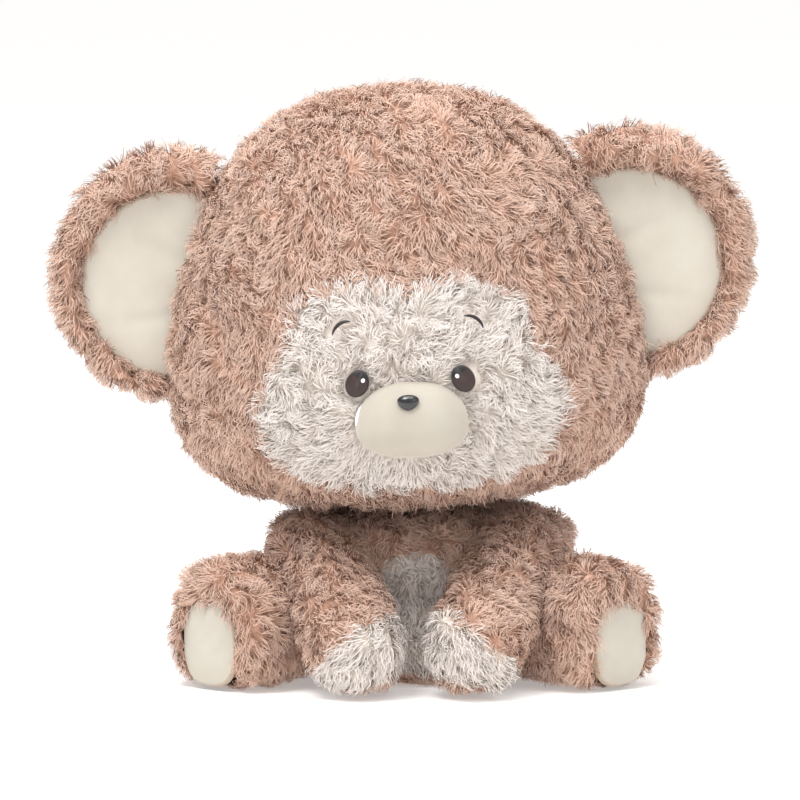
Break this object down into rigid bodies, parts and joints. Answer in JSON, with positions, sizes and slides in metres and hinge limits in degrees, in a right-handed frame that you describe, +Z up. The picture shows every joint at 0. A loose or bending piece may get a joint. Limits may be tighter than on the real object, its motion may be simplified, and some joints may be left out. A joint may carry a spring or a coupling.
{
  "type": "stuffed monkey",
  "caption": "Seated plush monkey with a wide domed head, round folding ears, a pale face patch and muzzle, stubby splayed legs and arms that reach the floor",
  "frame": {"origin": "the middle of the flat seat, on the floor the toy sits on", "axes": "+Z up; -Y is the way the face looks; +X is across the ears, towards the toy's left hand, the right of the front view"},
  "size_m": [0.3487, 0.2187, 0.2961],
  "materials": {
    "brown_fur": "long curly plush pile, warm beige brown",
    "cream_fur": "long curly plush pile, off-white",
    "cream_velboa": "smooth short-nap knit, cream",
    "eye_thread": "satin stitch in dark brown thread",
    "nose_plastic": "glossy black moulded plastic",
    "washer_plastic": "plain white moulded plastic",
    "filling": "white polyester fibre",
    "pellet_cloth": "plain woven bag of plastic pellets",
    "label_satin": "plain white satin ribbon, blank"
  },
  "bodies": {
    "body": {"seat_panel": "brown_fur", "back_panel": "brown_fur", "chest_panel": "brown_fur", "belly_patch": "cream_fur", "body_filling": "filling", "pellet_bag": "pellet_cloth", "care_label": "label_satin"},
    "neck": {"neck_filling": "filling"},
    "head": {"crown_panel": "brown_fur", "nape_panel": "brown_fur", "head_side_left": "brown_fur", "head_side_right": "brown_fur", "chin_panel": "brown_fur", "face_patch": "cream_fur", "head_filling": "filling", "muzzle_cover": "cream_velboa", "muzzle_filling": "filling", "nose": "nose_plastic", "nose_washer": "washer_plastic", "eye_left": "eye_thread", "eye_right": "eye_thread", "brow_left": "eye_thread", "brow_right": "eye_thread"},
    "ear_left": {"ear_back_left": "brown_fur", "ear_rim_left": "brown_fur", "ear_lining_left": "cream_velboa", "ear_batting_left": "filling"},
    "ear_right": {"ear_back_right": "brown_fur", "ear_rim_right": "brown_fur", "ear_lining_right": "cream_velboa", "ear_batting_right": "filling"},
    "arm_left": {"arm_sleeve_left": "brown_fur", "hand_patch_left": "cream_fur", "arm_filling_left": "filling"},
    "arm_right": {"arm_sleeve_right": "brown_fur", "hand_patch_right": "cream_fur", "arm_filling_right": "filling"},
    "leg_left": {"leg_cover_left": "brown_fur", "foot_sole_left": "cream_velboa", "leg_filling_left": "filling"},
    "leg_right": {"leg_cover_right": "brown_fur", "foot_sole_right": "cream_velboa", "leg_filling_right": "filling"},
    "tail": {"tail_cover": "brown_fur", "tail_filling": "filling"}
  },
  "joints": [
    {"name": "neck_turn", "type": "hinge", "parent": "body", "child": "neck", "pos_m": [0, 0.004, 0.07], "axis": [0, 0, 1], "range_deg": [-20, 20], "stiffness_Nm_per_rad": 0.4},
    {"name": "head_nod", "type": "hinge", "parent": "neck", "child": "head", "pos_m": [0, 0.004, 0.07], "axis": [1, 0, 0], "range_deg": [-6, 6], "stiffness_Nm_per_rad": 4},
    {"name": "ear_fold_left", "type": "hinge", "parent": "head", "child": "ear_left", "pos_m": [-0.13018, 0.003, 0.19339], "axis": [0.1805, 0, 0.9836], "range_deg": [-20, 20], "stiffness_Nm_per_rad": 0.05},
    {"name": "shoulder_raise_left", "type": "hinge", "parent": "body", "child": "arm_left", "pos_m": [-0.046, -0.027, 0.056], "axis": [-0.9635, -0.2676, 0], "range_deg": [0, 25]},
    {"name": "hip_splay_left", "type": "hinge", "parent": "body", "child": "leg_left", "pos_m": [-0.06, -0.02, 0.0284], "axis": [0, 0, -1], "range_deg": [0, 18]},
    {"name": "ear_fold_right", "type": "hinge", "parent": "head", "child": "ear_right", "pos_m": [0.11752, 0.003, 0.2055], "axis": [-0.2756, 0, 0.9613], "range_deg": [-20, 20], "stiffness_Nm_per_rad": 0.05},
    {"name": "shoulder_raise_right", "type": "hinge", "parent": "body", "child": "arm_right", "pos_m": [0.046, -0.027, 0.056], "axis": [-0.9635, 0.2676, 0], "range_deg": [0, 25]},
    {"name": "hip_splay_right", "type": "hinge", "parent": "body", "child": "leg_right", "pos_m": [0.06, -0.02, 0.0284], "axis": [0, 0, 1], "range_deg": [0, 18]},
    {"name": "tail_swing", "type": "hinge", "parent": "body", "child": "tail", "pos_m": [0, 0.054, 0.0122], "axis": [0, 0, 1], "range_deg": [-15, 15]}
  ]
}
